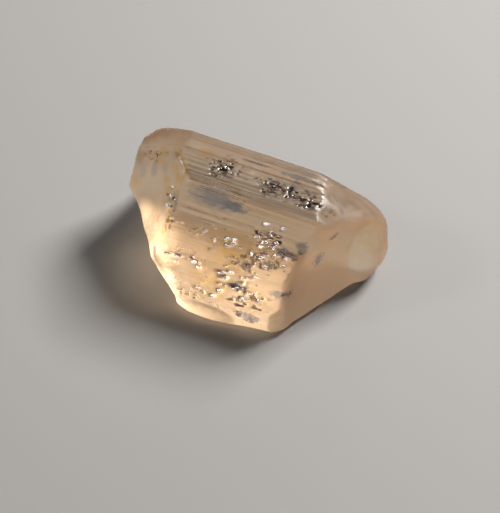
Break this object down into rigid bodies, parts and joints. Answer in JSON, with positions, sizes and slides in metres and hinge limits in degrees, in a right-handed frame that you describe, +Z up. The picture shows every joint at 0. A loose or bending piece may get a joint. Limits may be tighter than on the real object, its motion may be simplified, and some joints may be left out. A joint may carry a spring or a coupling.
{
  "type": "topaz crystal",
  "caption": "Rough topaz crystal lying on a prism face: a stubby striated prism of pale champagne colour, frosted and see-through, with its ends broken off and its edges worn.",
  "frame": {"origin": "middle of the crystal's box, on the flat prism face that it lies on", "axes": "+X along the prism (the crystal's c axis) towards the steep frosted break and its lobe, +Y towards the back, +Z up"},
  "size_m": [0.0204, 0.0128, 0.0102],
  "materials": {
    "topaz": "frosted by wear"
  },
  "bodies": {
    "root": {"topaz_crystal": "topaz"}
  },
  "joints": []
}
